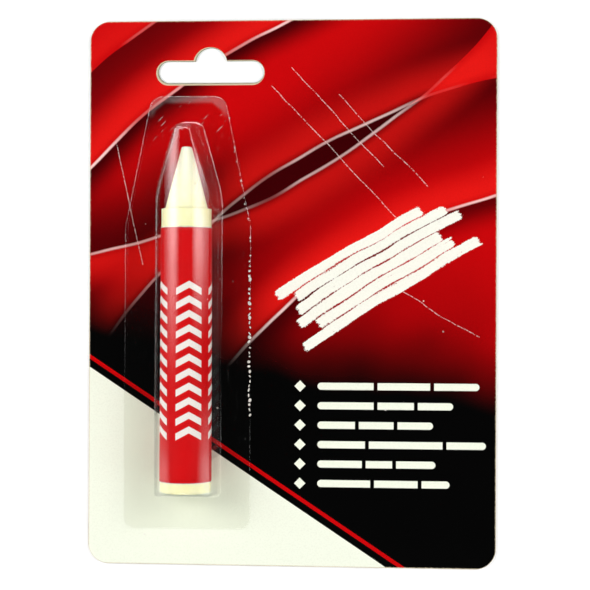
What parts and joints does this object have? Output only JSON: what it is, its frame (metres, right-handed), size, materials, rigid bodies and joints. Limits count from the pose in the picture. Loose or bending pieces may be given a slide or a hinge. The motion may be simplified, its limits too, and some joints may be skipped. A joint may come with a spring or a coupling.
{
  "type": "scratch repair crayon",
  "caption": "Wax scratch-repair crayon with a cone tip and paper wrapper, loose in a clear blister bubble that is sealed to a printed hanging card.",
  "frame": {"origin": "middle of the backing card's back face, on the surface that the pack lies on", "axes": "+Z out of the card's printed face, +Y along the crayon towards its tip and the hanging slot, +X to the right seen from the front"},
  "size_m": [0.12, 0.1606, 0.017],
  "materials": {
    "printed_board": "gloss",
    "clear_film": "gloss",
    "cream_wax": "satin",
    "printed_paper": "satin"
  },
  "bodies": {
    "pack": {"backing_card": "printed_board", "blister": "clear_film"},
    "crayon": {"wax_stick": "cream_wax", "paper_wrapper": "printed_paper"}
  },
  "joints": [
    {"name": "crayon_slide", "type": "slide", "parent": "pack", "child": "crayon", "axis": [0, 1, 0], "range_m": [0, 0.0058]}
  ]
}
